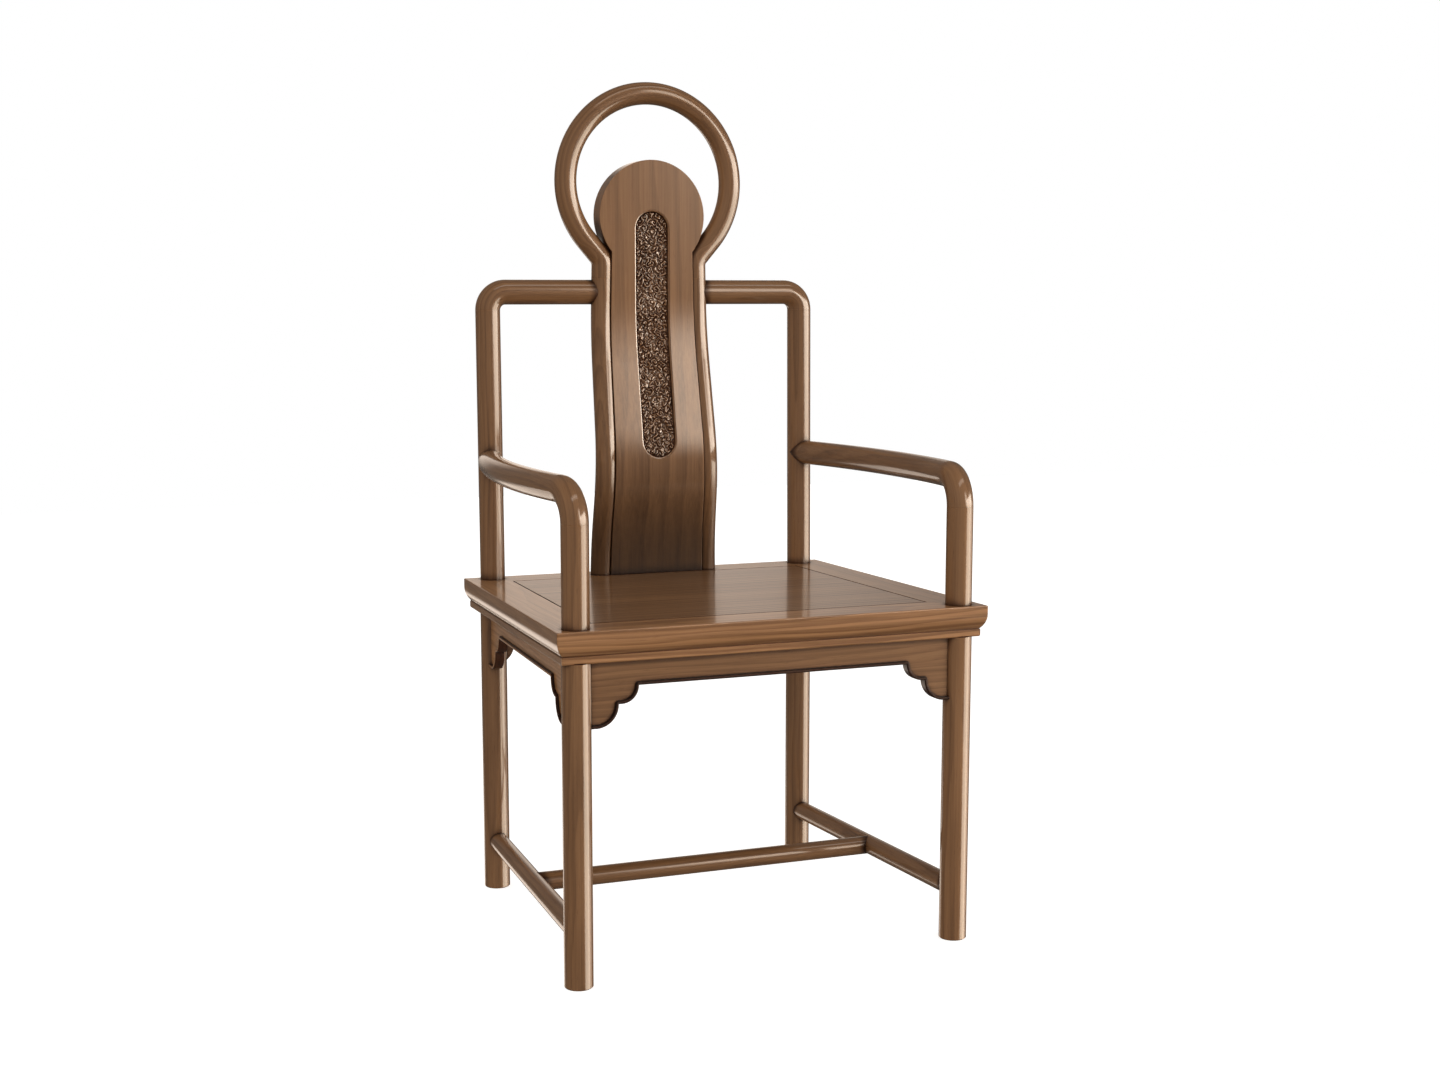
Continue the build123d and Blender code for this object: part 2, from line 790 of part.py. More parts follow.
with BuildPart() as ring_crown:
    add(bent_bar(crown_path.wire(), rod_radius))
    add(joint_dowel(crown_joint, crown_joint_way, joint_gap), mode=Mode.SUBTRACT)
    mirror(joint_dowel(crown_joint, crown_joint_way, joint_gap), about=Plane.YZ, mode=Mode.SUBTRACT)
write_piece(ring_crown, "ring_crown")


# ---- Splat: a sawn S-curved board with a round head, coped between the stiles ----
def curved_board(front, back, half_width, top):
    """A board sawn to the back's S-curve; front and back are measured from its centre line."""
    bottom = seat_height - tenon_margin
    with BuildPart() as board:
        with BuildSketch(Plane.YZ):
            with BuildLine():
                face = FilletPolyline(*back_curve(-front, bottom, top), radius=back_bends)
                rear = FilletPolyline(*back_curve(back, bottom, top), radius=back_bends)
                Line(face @ 0, rear @ 0)
                Line(face @ 1, rear @ 1)
            make_face()
        extrude(amount=half_width, both=True)
    return board.part


splat_top = head_height + head_radius
neck_overlap = 40.0
deep = 2 * overall_depth
with BuildPart() as splat_outline:
    with BuildSketch(Plane.XZ):
        with BuildLine():
            Polyline(
                (stile_x(seat_height) - splat_lap, seat_height),
                (stile_x(neck_height) - splat_lap, neck_height + neck_overlap),
                (-stile_x(neck_height) + splat_lap, neck_height + neck_overlap),
                (-stile_x(seat_height) + splat_lap, seat_height),
                close=True,
            )
        make_face()
        with Locations((0, head_height)):
            Circle(head_radius)
    extrude(amount=deep, both=True)


def panel_shape(front, back, gap):
    """The stadium-shaped field of the carved panel, between two depths of the curved splat."""
    with BuildPart() as field:
        add(curved_board(front, back, recess_width, splat_top))
        with BuildSketch(Plane.XZ):
            with Locations((0, (recess_top + recess_bottom) / 2)):
                SlotOverall(recess_top - recess_bottom - 2 * gap, recess_width - 2 * gap, rotation=90)
        extrude(amount=deep, both=True, mode=Mode.INTERSECT)
    return field.part


with BuildPart() as carved_panel:
    add(panel_shape(splat_front - relief_sink, recess_depth - splat_front, joint_gap))
write_piece(carved_panel, "carved_panel")

with BuildPart() as splat:
    add(curved_board(splat_front, splat_back, head_radius + 1, splat_top + 1))
    add(splat_outline.part, mode=Mode.INTERSECT)
    add(stile_bar, mode=Mode.SUBTRACT)
    mirror(stile_bar, about=Plane.YZ, mode=Mode.SUBTRACT)
    add(shoulder_bar, mode=Mode.SUBTRACT)
    mirror(shoulder_bar, about=Plane.YZ, mode=Mode.SUBTRACT)
    add(splat_tenon(0))
    add(panel_shape(splat_front + 5, recess_depth - splat_front + joint_gap, 0), mode=Mode.SUBTRACT)
    add(splat_dowels(joint_gap), mode=Mode.SUBTRACT)
    mirror(splat_dowels(joint_gap), about=Plane.YZ, mode=Mode.SUBTRACT)
write_piece(splat, "splat")
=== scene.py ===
import math
import random

import bpy
import numpy as np
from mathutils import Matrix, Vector
from mathutils.bvhtree import BVHTree


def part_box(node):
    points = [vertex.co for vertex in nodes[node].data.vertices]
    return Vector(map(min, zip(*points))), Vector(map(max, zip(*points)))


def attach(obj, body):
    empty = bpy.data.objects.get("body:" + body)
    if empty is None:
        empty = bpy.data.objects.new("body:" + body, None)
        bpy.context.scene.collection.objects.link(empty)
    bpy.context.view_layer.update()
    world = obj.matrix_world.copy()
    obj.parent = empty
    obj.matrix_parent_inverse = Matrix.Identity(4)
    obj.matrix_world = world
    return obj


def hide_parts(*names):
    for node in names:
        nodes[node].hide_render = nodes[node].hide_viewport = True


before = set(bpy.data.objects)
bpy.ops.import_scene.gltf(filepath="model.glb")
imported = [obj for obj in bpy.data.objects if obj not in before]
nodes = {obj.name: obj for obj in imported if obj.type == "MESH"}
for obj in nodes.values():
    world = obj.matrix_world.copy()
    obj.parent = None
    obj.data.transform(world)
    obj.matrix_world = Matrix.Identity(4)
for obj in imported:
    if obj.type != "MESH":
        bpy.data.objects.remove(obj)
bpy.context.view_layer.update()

# Camera. It stands in front of the chair and to its left, a little above the arms,
# and looks slightly down at the seat through a normal lens.
camera = bpy.data.objects.new("camera", bpy.data.cameras.new("camera"))
bpy.context.scene.collection.objects.link(camera)
camera.location = (-1.0622, -2.657, 0.9092)
camera.rotation_euler = (math.pi / 2 - 0.1432, 0.0, -0.37904)
camera.data.sensor_width = 36.0
camera.data.lens = 49.83
camera.data.shift_x = 0.0104
camera.data.shift_y = 0.0278
bpy.context.scene.camera = camera
bpy.context.scene.view_settings.view_transform = "Standard"

# Studio. A white cove. What the lacquer reflects is a ring of soft boxes: three wide ones at the
# right, a narrow one in front, one overhead and two behind, so that every rod carries long
# narrow highlights. The wood under the lacquer is lit by a softer and more even surround.


class Wiring:
    """Adds nodes to one tree and joins them up; a plain number is set on the socket itself."""

    def __init__(self, tree):
        self.tree = tree

    def node(self, kind, **settings):
        made = self.tree.nodes.new("ShaderNode" + kind)
        for name, value in settings.items():
            setattr(made, name, value)
        return made

    def feed(self, socket, value):
        if isinstance(value, bpy.types.NodeSocket):
            self.tree.links.new(value, socket)
        else:
            socket.default_value = value

    def maths(self, operation, *values):
        made = self.node("Math", operation=operation)
        for socket, value in zip(made.inputs, values):
            self.feed(socket, value)
        return made.outputs[0]

    def vector(self, operation, *values):
        made = self.node("VectorMath", operation=operation)
        for socket, value in zip(made.inputs, values):
            self.feed(socket, value)
        return made.outputs["Value" if operation in ("DOT_PRODUCT", "LENGTH") else "Vector"]

    def split(self, vector):
        """The three parts of a vector, each under its axis."""
        made = self.node("SeparateXYZ")
        self.feed(made.inputs[0], vector)
        return made.outputs

    def place(self):
        """Where the shaded point is on the chair, each axis by itself."""
        return self.split(self.node("TexCoord").outputs["Object"])

    def flat_length(self, across, along):
        """How long a flat vector with these two parts is."""
        flat = self.node("CombineXYZ")
        self.feed(flat.inputs["X"], across)
        self.feed(flat.inputs["Y"], along)
        return self.vector("LENGTH", flat.outputs[0])

    def ramp(self, value, low, high, first=0.0, last=1.0):
        made = self.node("MapRange", interpolation_type="SMOOTHSTEP")
        for name, given in (("Value", value), ("From Min", low), ("From Max", high),
                            ("To Min", first), ("To Max", last)):
            self.feed(made.inputs[name], given)
        return made.outputs["Result"]

    def mix(self, share, first, second, blend="MIX"):
        made = self.node("Mix", data_type="RGBA", blend_type=blend, clamp_factor=True)
        for number, given in ((0, share), (6, first), (7, second)):
            self.feed(made.inputs[number], given)
        return made.outputs[2]

    def tint(self, share, colour, left):
        """The colour, with this much of its red, green and blue left where the share is 1."""
        return self.mix(share, colour, (*left, 1), "MULTIPLY")

    def less(self, value, share, loss):
        """The value, without this part of it where the share is 1."""
        kept = self.maths("MULTIPLY_ADD", share, -loss, 1.0)
        return self.maths("MULTIPLY", value, kept)


def shader_group(name, inputs, outputs):
    """A new node group: its wiring, what goes into it, and the sockets of its output."""
    tree = bpy.data.node_groups.new(name, "ShaderNodeTree")
    for socket, kind in inputs:
        tree.interface.new_socket(socket, in_out="INPUT", socket_type="NodeSocket" + kind)
    for socket, kind in outputs:
        tree.interface.new_socket(socket, in_out="OUTPUT", socket_type="NodeSocket" + kind)
    given, result = tree.nodes.new("NodeGroupInput"), tree.nodes.new("NodeGroupOutput")
    return Wiring(tree), given.outputs, result.inputs


def softbox_group():
    """A soft-edged box of light in the surround: where it is, and how wide and high it is."""
    wires, given, result = shader_group(
        "soft box",
        (("Direction", "Vector"), ("Middle", "Vector"), ("Right", "Vector"), ("Up", "Vector"),
         ("Half Width", "Float"), ("Half Height", "Float"),
         ("Side Fade", "Float"), ("End Fade", "Float")),
        (("Light", "Float"),),
    )
    ahead = wires.vector("DOT_PRODUCT", given["Direction"], given["Middle"])
    just_ahead = 0.02
    light = wires.maths("GREATER_THAN", ahead, just_ahead)
    for side, half, fade in (("Right", "Half Width", "Side Fade"),
                             ("Up", "Half Height", "End Fade")):
        aside = wires.vector("DOT_PRODUCT", given["Direction"], given[side])
        offset = wires.maths("ABSOLUTE", wires.maths("ARCTAN2", aside, ahead))
        edge = wires.ramp(
            wires.maths("SUBTRACT", given[half], offset),
            wires.maths("MULTIPLY", given[fade], -0.5),
            wires.maths("MULTIPLY", given[fade], 0.5),
        )
        light = wires.maths("MULTIPLY", light, edge)
    wires.feed(result["Light"], light)
    return wires.tree


studio = bpy.data.worlds.new("studio")
bpy.context.scene.world = studio
studio.use_nodes = True
studio.node_tree.nodes.clear()
studio_wires = Wiring(studio.node_tree)
softbox = softbox_group()
direction = studio_wires.node("TexCoord").outputs["Generated"]
lift = studio_wires.split(direction)["Z"]


def surround(low, high, boxes):
    """The light from all round: one colour from below, one from above, and boxes of light.

    A box is its azimuth and elevation, half its width and height, how far its sides and its ends
    fade, all in degrees, and its light.
    """
    rise = studio_wires.ramp(lift, -0.4, 0.5)
    total = studio_wires.mix(rise, (*low, 1), (*high, 1))
    for azimuth, elevation, half_width, half_height, side_fade, end_fade, colour in boxes:
        a, e = math.radians(azimuth), math.radians(elevation)
        box = studio_wires.node("Group", node_tree=softbox)
        for name, given in (
            ("Direction", direction),
            ("Middle", (math.sin(a) * math.cos(e), -math.cos(a) * math.cos(e), math.sin(e))),
            ("Right", (math.cos(a), math.sin(a), 0)),
            ("Up", (-math.sin(a) * math.sin(e), math.cos(a) * math.sin(e), math.cos(e))),
            ("Half Width", math.radians(half_width)),
            ("Half Height", math.radians(half_height)),
            ("Side Fade", math.radians(side_fade)),
            ("End Fade", math.radians(end_fade)),
        ):
            studio_wires.feed(box.inputs[name], given)
        total = studio_wires.vector("MULTIPLY_ADD", box.outputs["Light"], colour, total)
    return total


gloss_light = surround(
    low=(0.085, 0.075, 0.065),
    high=(0.12, 0.11, 0.10),
    boxes=(
        (57.0, -12.0, 21.0, 12.0, 9.0, 4.0, (4.6, 4.0, 3.2)),
        (86.0, -10.0, 15.0, 13.0, 24.0, 8.0, (2.1, 1.8, 1.5)),
        (27.0, 17.0, 6.5, 12.0, 2.8, 14.0, (4.2, 3.55, 2.9)),
        (57.0, 7.5, 27.0, 7.5, 7.0, 6.0, (7.5, 6.5, 5.4)),
        (194.0, -21.0, 14.0, 7.5, 4.0, 4.0, (1.45, 1.22, 1.03)),
        (20.0, 62.0, 25.0, 5.0, 5.0, 5.0, (1.8, 1.6, 1.4)),
        (165.5, 7.0, 13.0, 9.0, 18.0, 10.0, (1.05, 0.87, 0.73)),
    ),
)
soft_light = surround(
    low=(0.16, 0.155, 0.145),
    high=(0.42, 0.41, 0.39),
    boxes=(
        (10.0, 12.0, 60.0, 40.0, 50.0, 50.0, (0.62, 0.59, 0.54)),
        (66.0, 0.0, 31.0, 17.0, 20.0, 20.0, (0.8, 0.75, 0.68)),
        (-85.0, 5.0, 50.0, 30.0, 50.0, 50.0, (0.36, 0.33, 0.29)),
        (180.0, 10.0, 60.0, 35.0, 50.0, 50.0, (0.30, 0.285, 0.26)),
    ),
)
light_path = studio_wires.node("LightPath").outputs
lighting, cove = studio_wires.node("Background"), studio_wires.node("Background")
all_round = studio_wires.mix(light_path["Is Glossy Ray"], soft_light, gloss_light)
studio_wires.feed(lighting.inputs["Color"], all_round)
studio_wires.feed(cove.inputs["Color"], (1, 1, 1, 1))
shown = studio_wires.node("MixShader")
studio_wires.feed(shown.inputs[0], light_path["Is Camera Ray"])
studio_wires.feed(shown.inputs[1], lighting.outputs[0])
studio_wires.feed(shown.inputs[2], cove.outputs[0])
studio_wires.feed(studio_wires.node("OutputWorld").inputs["Surface"], shown.outputs[0])

# Legs. Four round legs of solid walnut, turned from straight-grained squares, each with a tenon
# that stands up through the seat frame. All the walnut is rubbed smooth and lacquered.


def walnut_group():
    """Walnut in the solid. Point runs along the grain in X, and the year lines lie round X."""
    wires, given, result = shader_group(
        "walnut",
        (("Point", "Vector"), ("Light Wood", "Color"), ("Dark Wood", "Color"),
         ("Year Width", "Float"), ("Figure", "Float"), ("Streaks", "Float")),
        (("Colour", "Color"), ("Roughness", "Float"), ("Height", "Float")),
    )

    def noise(along, across, detail, rough=0.5):
        """Noise with this many lumps to the metre along the grain and across it."""
        texture = wires.node("TexNoise")
        stretched = wires.vector("MULTIPLY", given["Point"], (along, across, across))
        wires.feed(texture.inputs["Vector"], stretched)
        texture.inputs["Scale"].default_value = 1.0
        texture.inputs["Detail"].default_value = detail
        texture.inputs["Roughness"].default_value = rough
        return texture.outputs["Fac"]

    split = wires.split(given["Point"])
    wander, figure_strength, streak_strength, broad_strength = 0.06, 0.6, 0.5, 0.32
    from_pith = wires.flat_length(split["Y"], split["Z"])
    sway = wires.maths("MULTIPLY_ADD", noise(1.6, 9.0, 3.0), wander, from_pith)
    years = wires.maths("FRACT", wires.maths("DIVIDE", sway, given["Year Width"]))
    rise, drop = wires.ramp(years, 0.2, 0.93), wires.ramp(years, 1.0, 0.93)
    year_line = wires.maths("MULTIPLY", rise, drop)
    broad = wires.ramp(noise(1.3, 24.0, 3.0), 0.3, 0.7)
    fibre = noise(7.0, 430.0, 4.0, 0.65)
    streak = wires.ramp(noise(3.0, 120.0, 3.0, 0.6), 0.36, 0.70)
    pore_rows = wires.ramp(noise(9.0, 160.0, 2.0), 0.35, 0.6)
    pore = wires.maths("MULTIPLY", wires.ramp(noise(55.0, 1500.0, 2.0), 0.62, 0.72), pore_rows)
    figure = wires.maths("MULTIPLY", given["Figure"], figure_strength)
    streaks = wires.maths("MULTIPLY", given["Streaks"], streak_strength)
    tone = wires.maths("MULTIPLY", year_line, figure)
    tone = wires.maths("MULTIPLY_ADD", broad, broad_strength, tone)
    tone = wires.maths("MULTIPLY_ADD", streak, streaks, tone)
    tone = wires.maths("ADD", wires.maths("SUBTRACT", fibre, 0.5), tone)
    wood = wires.mix(tone, given["Light Wood"], given["Dark Wood"])
    pore_left = (0.28, 0.20, 0.14)
    wires.feed(result["Colour"], wires.tint(wires.maths("MULTIPLY", pore, 0.5), wood, pore_left))
    rough, fibre_rough, pore_rough = 0.36, 0.10, 0.12
    rough = wires.maths("MULTIPLY_ADD", fibre, fibre_rough, rough)
    wires.feed(result["Roughness"], wires.maths("MULTIPLY_ADD", pore, pore_rough, rough))
    fibre_height = wires.maths("MULTIPLY", fibre, 0.35)
    wires.feed(result["Height"], wires.maths("SUBTRACT", fibre_height, pore))
    return wires.tree


def painted_shade_and_rub_group():
    """Painted shade in corners and creases; edges rounded, and painted lighter as rubbed wear and
    painted highlight.
    """
    wires, given, result = shader_group(
        "painted_shade_and_rub",
        (("Colour", "Color"), ("Corner Size", "Float"), ("Corner Painted Shade", "Float"),
         ("Edge Size", "Float"), ("Edge Rub And Highlight", "Float")),
        (("Colour", "Color"), ("Normal", "Vector"), ("Painted Shade", "Float")),
    )
    painted_shade_left, rubbed_and_highlit = (0.16, 0.10, 0.07), (1.9, 1.75, 1.55)
    # Painted shade: darker where ambient occlusion finds the point closed in, in corners, creases
    # and between parts.
    corners = wires.node("AmbientOcclusion", samples=8)
    wires.feed(corners.inputs["Distance"], given["Corner Size"])
    closed = wires.ramp(corners.outputs["AO"], 0.96, 0.50)
    painted_shade = wires.maths("MULTIPLY", closed, given["Corner Painted Shade"])
    # The edges are rounded in the normal and painted lighter: partly rubbed wear, partly a
    # painted highlight.
    rounded = wires.node("Bevel", samples=6)
    wires.feed(rounded.inputs["Radius"], given["Edge Size"])
    flat = wires.node("NewGeometry").outputs["Normal"]
    facing = wires.vector("DOT_PRODUCT", rounded.outputs[0], flat)
    edge = wires.maths("MULTIPLY", wires.ramp(facing, 0.995, 0.90), given["Edge Rub And Highlight"])
    lighter = wires.tint(edge, given["Colour"], rubbed_and_highlit)
    wires.feed(result["Colour"], wires.tint(painted_shade, lighter, painted_shade_left))
    wires.feed(result["Normal"], rounded.outputs[0])
    wires.feed(result["Painted Shade"], painted_shade)
    return wires.tree


def joint_shade_group():
    """How near a point is to the round rod that its piece is let into, for painted shade: 1 at
    the joint.
    """
    wires, given, result = shader_group(
        "joint",
        (("Across", "Float"), ("Beside", "Float"), ("Radius", "Float")),
        (("Share", "Float"),),
    )
    reach, nearest = 0.010, 0.001
    from_axis = wires.flat_length(given["Across"], given["Beside"])
    gap = wires.maths("SUBTRACT", from_axis, given["Radius"])
    wires.feed(result["Share"], wires.ramp(gap, reach, nearest))
    return wires.tree


walnut = walnut_group()
painted_shade_and_rub = painted_shade_and_rub_group()
joint = joint_shade_group()
light_walnut, dark_walnut = (0.352, 0.174, 0.075), (0.160, 0.072, 0.028)
edge_size = 0.0018


def straight_grain(wires, axis):
    """Grain along one axis: its own distance, then the two across it."""
    place = wires.place()
    return [place[name] for name in {"X": "XYZ", "Y": "YXZ", "Z": "ZXY"}[axis]]


def walnut_material(name, grain, pith, tone=1.0, figure=0.5, streaks=0.5, year_width=0.009,
                    corner_size=0.012, corner_painted_shade=0.9, edge_rub=0.35, blur=0.11, index=1.7,
                    worn_top=0.0, darker_below=None, waxed=None, joints=()):
    """Lacquered walnut for one piece.

    grain: an axis, or a function that follows a bent piece; pith: how far off it the pith lies.
    tone, figure, streaks, year_width: how light the wood is, how strong and how wide its lines;
    where a piece stands in more or less light, its tone is painted light or shade.
    corner_size, corner_painted_shade: how far painted shade spreads from a corner, and how deep
    it is there.
    edge_rub: how far the edges are painted lighter, as rubbed wear and painted highlight.
    blur, index: how soft the lacquer's reflections are, and how strong.
    worn_top: how much of the gloss has gone from what faces up.
    darker_below: painted shade; the two heights that the wood darkens between, and how much
    colour is left.
    waxed: an axis, a level and a way; what stands past that level, and the edges sawn
    along that axis, are dark and dull: dark wax in a joint, and painted shade on a bead.
    joints: painted shade round the joints: the round rods that the piece is let into, each
    as two axes, where the rod's own axis lies on them, and its radius.
    """
    made = bpy.data.materials.new(name)
    made.use_nodes = True
    wires = Wiring(made.node_tree)
    surface = made.node_tree.nodes["Principled BSDF"]
    run, out, side = straight_grain(wires, grain) if isinstance(grain, str) else grain(wires)
    another_length = 7.3 * pith[0]
    point = wires.node("CombineXYZ")
    wires.feed(point.inputs["X"], wires.maths("ADD", run, another_length))
    wires.feed(point.inputs["Y"], wires.maths("ADD", out, pith[0]))
    wires.feed(point.inputs["Z"], wires.maths("ADD", side, pith[1]))
    wood = wires.node("Group", node_tree=walnut)
    for socket, given in (
        ("Point", point.outputs[0]),
        ("Light Wood", (*(part * tone for part in light_walnut), 1)),
        ("Dark Wood", (*(part * tone for part in dark_walnut), 1)),
        ("Year Width", year_width),
        ("Figure", figure),
        ("Streaks", streaks),
    ):
        wires.feed(wood.inputs[socket], given)
    shade_and_rub_node = wires.node("Group", node_tree=painted_shade_and_rub)
    for socket, given in (
        ("Colour", wood.outputs["Colour"]),
        ("Corner Size", corner_size),
        ("Corner Painted Shade", corner_painted_shade),
        ("Edge Size", edge_size),
        ("Edge Rub And Highlight", edge_rub),
    ):
        wires.feed(shade_and_rub_node.inputs[socket], given)
    colour = shade_and_rub_node.outputs["Colour"]
    # Painted shade takes the gloss away too, where it is deepest.
    gloss = wires.maths("SUBTRACT", 1.0, wires.maths("POWER", shade_and_rub_node.outputs["Painted Shade"], 2.0))
    place = wires.place()
    # Painted shade towards the seat: the colour darkens between the two heights and the gloss
    # fades below.
    if darker_below:
        low, high, left = darker_below
        dull, glossy, dull_gloss = low + 0.10, low + 0.15, 0.08
        share = wires.ramp(place["Z"], high, low)
        colour = wires.tint(share, colour, (left, left * 0.97, left * 0.93))
        kept = wires.ramp(place["Z"], dull, glossy, dull_gloss, 1.0)
        gloss = wires.maths("MULTIPLY", gloss, kept)
    # Dark wax and painted shade: what stands past the level, and the edges sawn along the axis,
    # are painted dark and lose gloss.
    if waxed:
        axis, level, way = waxed
        wax_and_shade_left, wax_and_shade_loss, wax_edge = (0.15, 0.10, 0.09), 0.7, 0.0008
        outward = wires.maths("MULTIPLY", place[axis], way)
        proud = wires.ramp(outward, way * level, way * level + wax_edge)
        turned = wires.maths("ABSOLUTE", wires.split(shade_and_rub_node.outputs["Normal"])[axis])
        share = wires.maths("MAXIMUM", proud, wires.ramp(turned, 0.97, 0.75))
        colour = wires.tint(share, colour, wax_and_shade_left)
        gloss = wires.less(gloss, share, wax_and_shade_loss)
    # Painted shade round each joint, standing for a contact shadow: darker and less glossy near
    # the rod the piece is let into.
    joint_shade_left, joint_shade_loss = (0.26, 0.20, 0.17), 0.85
    for first, second, across, beside, radius in joints:
        near = wires.node("Group", node_tree=joint)
        wires.feed(near.inputs["Across"], wires.maths("SUBTRACT", place[first], across))
        wires.feed(near.inputs["Beside"], wires.maths("SUBTRACT", place[second], beside))
        near.inputs["Radius"].default_value = radius
        colour = wires.tint(near.outputs["Share"], colour, joint_shade_left)
        gloss = wires.less(gloss, near.outputs["Share"], joint_shade_loss)
    if worn_top:
        upright = wires.split(wires.node("NewGeometry").outputs["Normal"])["Z"]
        kept = wires.ramp(upright, 0.9, 0.99, 1.0, 1.0 - worn_top)
        gloss = wires.maths("MULTIPLY", gloss, kept)
    wires.feed(surface.inputs["Coat Weight"], gloss)
    wires.feed(surface.inputs["Base Color"], colour)
    wires.feed(surface.inputs["Roughness"], wood.outputs["Roughness"])
    bump = wires.node("Bump")
    bump.inputs["Strength"].default_value = 0.15
    bump.inputs["Distance"].default_value = 0.0002
    wires.feed(bump.inputs["Height"], wood.outputs["Height"])
    wires.feed(bump.inputs["Normal"], shade_and_rub_node.outputs["Normal"])
    wires.feed(surface.inputs["Normal"], bump.outputs[0])
    surface.inputs["IOR"].default_value = 1.5
    surface.inputs["Specular IOR Level"].default_value = 0.3
    surface.inputs["Coat Roughness"].default_value = blur
    surface.inputs["Coat IOR"].default_value = index
    return made


def finish(piece, grain, pith, **more):
    """Gives one CAD piece its own walnut."""
    material = walnut_material(piece + "_walnut", grain, pith, **more)
    for slot in nodes[piece].material_slots:
        slot.material = material


finish("left_front_leg", "Z", (0.31, 0.045), tone=0.96, corner_size=0.02)
finish("right_front_leg", "Z", (-0.33, 0.05), tone=1.09, corner_size=0.02)
finish("left_back_leg", "Z", (0.30, -0.19), tone=0.96, corner_size=0.02)
finish("right_back_leg", "Z", (-0.29, -0.20), tone=0.92, corner_size=0.02)

# Stretchers. Three thinner walnut rods near the floor: one along each side, let into the legs,
# and one across, let into those two. Painted shade darkens each joint.
front_leg_x, back_leg_x, leg_y, leg_radius = 0.2795, 0.2542, 0.241, 0.0195
side_stretcher_radius = 0.014
rod_corner = 0.03
cross_low, cross_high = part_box("cross_stretcher")
cross_y, cross_z = (cross_low[1] + cross_high[1]) / 2, (cross_low[2] + cross_high[2]) / 2
cross_x = (front_leg_x + back_leg_x) / 2 - (front_leg_x - back_leg_x) * cross_y / (2 * leg_y)
for piece, way, pith, tone in (("left_side_stretcher", -1, (0.32, -0.04), 0.95),
                               ("right_side_stretcher", 1, (-0.31, -0.05), 0.92)):
    finish(piece, "Y", pith, tone=tone, corner_size=rod_corner, joints=(
        ("X", "Y", way * front_leg_x, -leg_y, leg_radius),
        ("X", "Y", way * back_leg_x, leg_y, leg_radius),
    ))
# The cross stretcher's tone is lowered as painted shade, for the seat's shadow on it.
finish("cross_stretcher", "X", (0.05, -0.04), tone=0.85, corner_size=rod_corner, joints=(
    ("X", "Z", -cross_x, cross_z, side_stretcher_radius),
    ("X", "Z", cross_x, cross_z, side_stretcher_radius),
))

# Seat frame. Four walnut rails with a moulded outer edge, mitred at the corners and grooved
# inside for the panel. Their tops are rubbed duller than the rest of the chair.
seat_wear = 0.5
# The front and left rails' tones are raised as painted light, for the light those faces catch.
finish("seat_front_rail", "X", (0.23, -0.62), tone=1.58, figure=0.9, streaks=1.1,
       worn_top=seat_wear)
finish("seat_back_rail", "X", (-0.19, -0.41), tone=1.1, worn_top=seat_wear)
finish("seat_left_rail", "Y", (0.24, -0.42), tone=1.2, worn_top=seat_wear)
finish("seat_right_rail", "Y", (-0.24, -0.41), tone=1.0, worn_top=seat_wear)

# Mitre splines. Loose tongues of walnut, glued across the four mitres and out of sight,
# so they are left with a thin dull finish, as the other hidden pieces are.
hidden_blur = 0.3
finish("mitre_splines", "Z", (0.05, 0.04), blur=hidden_blur)

# Seat panel. One wide walnut board that floats in the frame's groove, its grain across the seat,
# with wax in the gap round it. Two dovetailed battens below keep it flat.
above_the_chair = 9.0
finish("seat_panel", "X", (0.40, -0.46), tone=0.9, figure=0.8, streaks=0.8, year_width=0.014,
       blur=0.13, worn_top=seat_wear, waxed=("Z", above_the_chair, 1.0))
finish("left_panel_batten", "Y", (0.10, -0.40), blur=hidden_blur)
finish("right_panel_batten", "Y", (-0.09, -0.40), blur=hidden_blur)

# Aprons. Thin walnut boards under the seat frame, sawn to a lobed outline with a raised bead
# along it, and tongued into the legs and the frame. The bead and the sawn edge are painted dark,
# as dark wax and as painted shade.
bead_height = 0.004
for piece, grain, pith, tone, corner, way in (
    ("front_apron", "X", (0.24, -0.60), 0.93, 0, -1.0),
    ("back_apron", "X", (-0.24, -0.60), 0.95, 1, 1.0),
    # The left side apron's tone is raised as painted light, for the light it catches from the
    # left.
    ("left_side_apron", "Y", (0.29, -0.37), 1.9, 0, -1.0),
    ("right_side_apron", "Y", (-0.28, -0.37), 1.1, 1, 1.0),
):
    across = "Y" if grain == "X" else "X"
    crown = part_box(piece)[corner]["XYZ".index(across)]
    finish(piece, grain, pith, tone=tone, figure=0.6, streaks=0.7,
           waxed=(across, crown - way * bead_height, way))

# Posts. Four walnut rods that stand on the legs' tenons above the seat: two carry the arms and
# two the top rails. Each is cut from the same length as the rod above it, so the grain runs on
# through the joint.


def bent_grain_group():
    """How far along and out a point is on a rod that turns once, from level to upright."""
    wires, given, result = shader_group(
        "bent grain",
        (("Run", "Float"), ("Rise", "Float"), ("Radius", "Float")),
        (("Along", "Float"), ("Out", "Float")),
    )
    level = wires.maths("MAXIMUM", wires.maths("MULTIPLY", given["Run"], -1.0), 0.0)
    upright = wires.maths("MAXIMUM", given["Rise"], 0.0)
    reach = wires.flat_length(level, upright)
    wires.feed(result["Out"], wires.maths("SUBTRACT", reach, given["Radius"]))
    turn = wires.maths("MULTIPLY", wires.maths("ARCTAN2", upright, level), given["Radius"])
    past, below = (wires.maths("MAXIMUM", given["Run"], 0.0),
                   wires.maths("MINIMUM", given["Rise"], 0.0))
    wires.feed(result["Along"], wires.maths("ADD", turn, wires.maths("ADD", past, below)))
    return wires.tree


bent_grain = bent_grain_group()


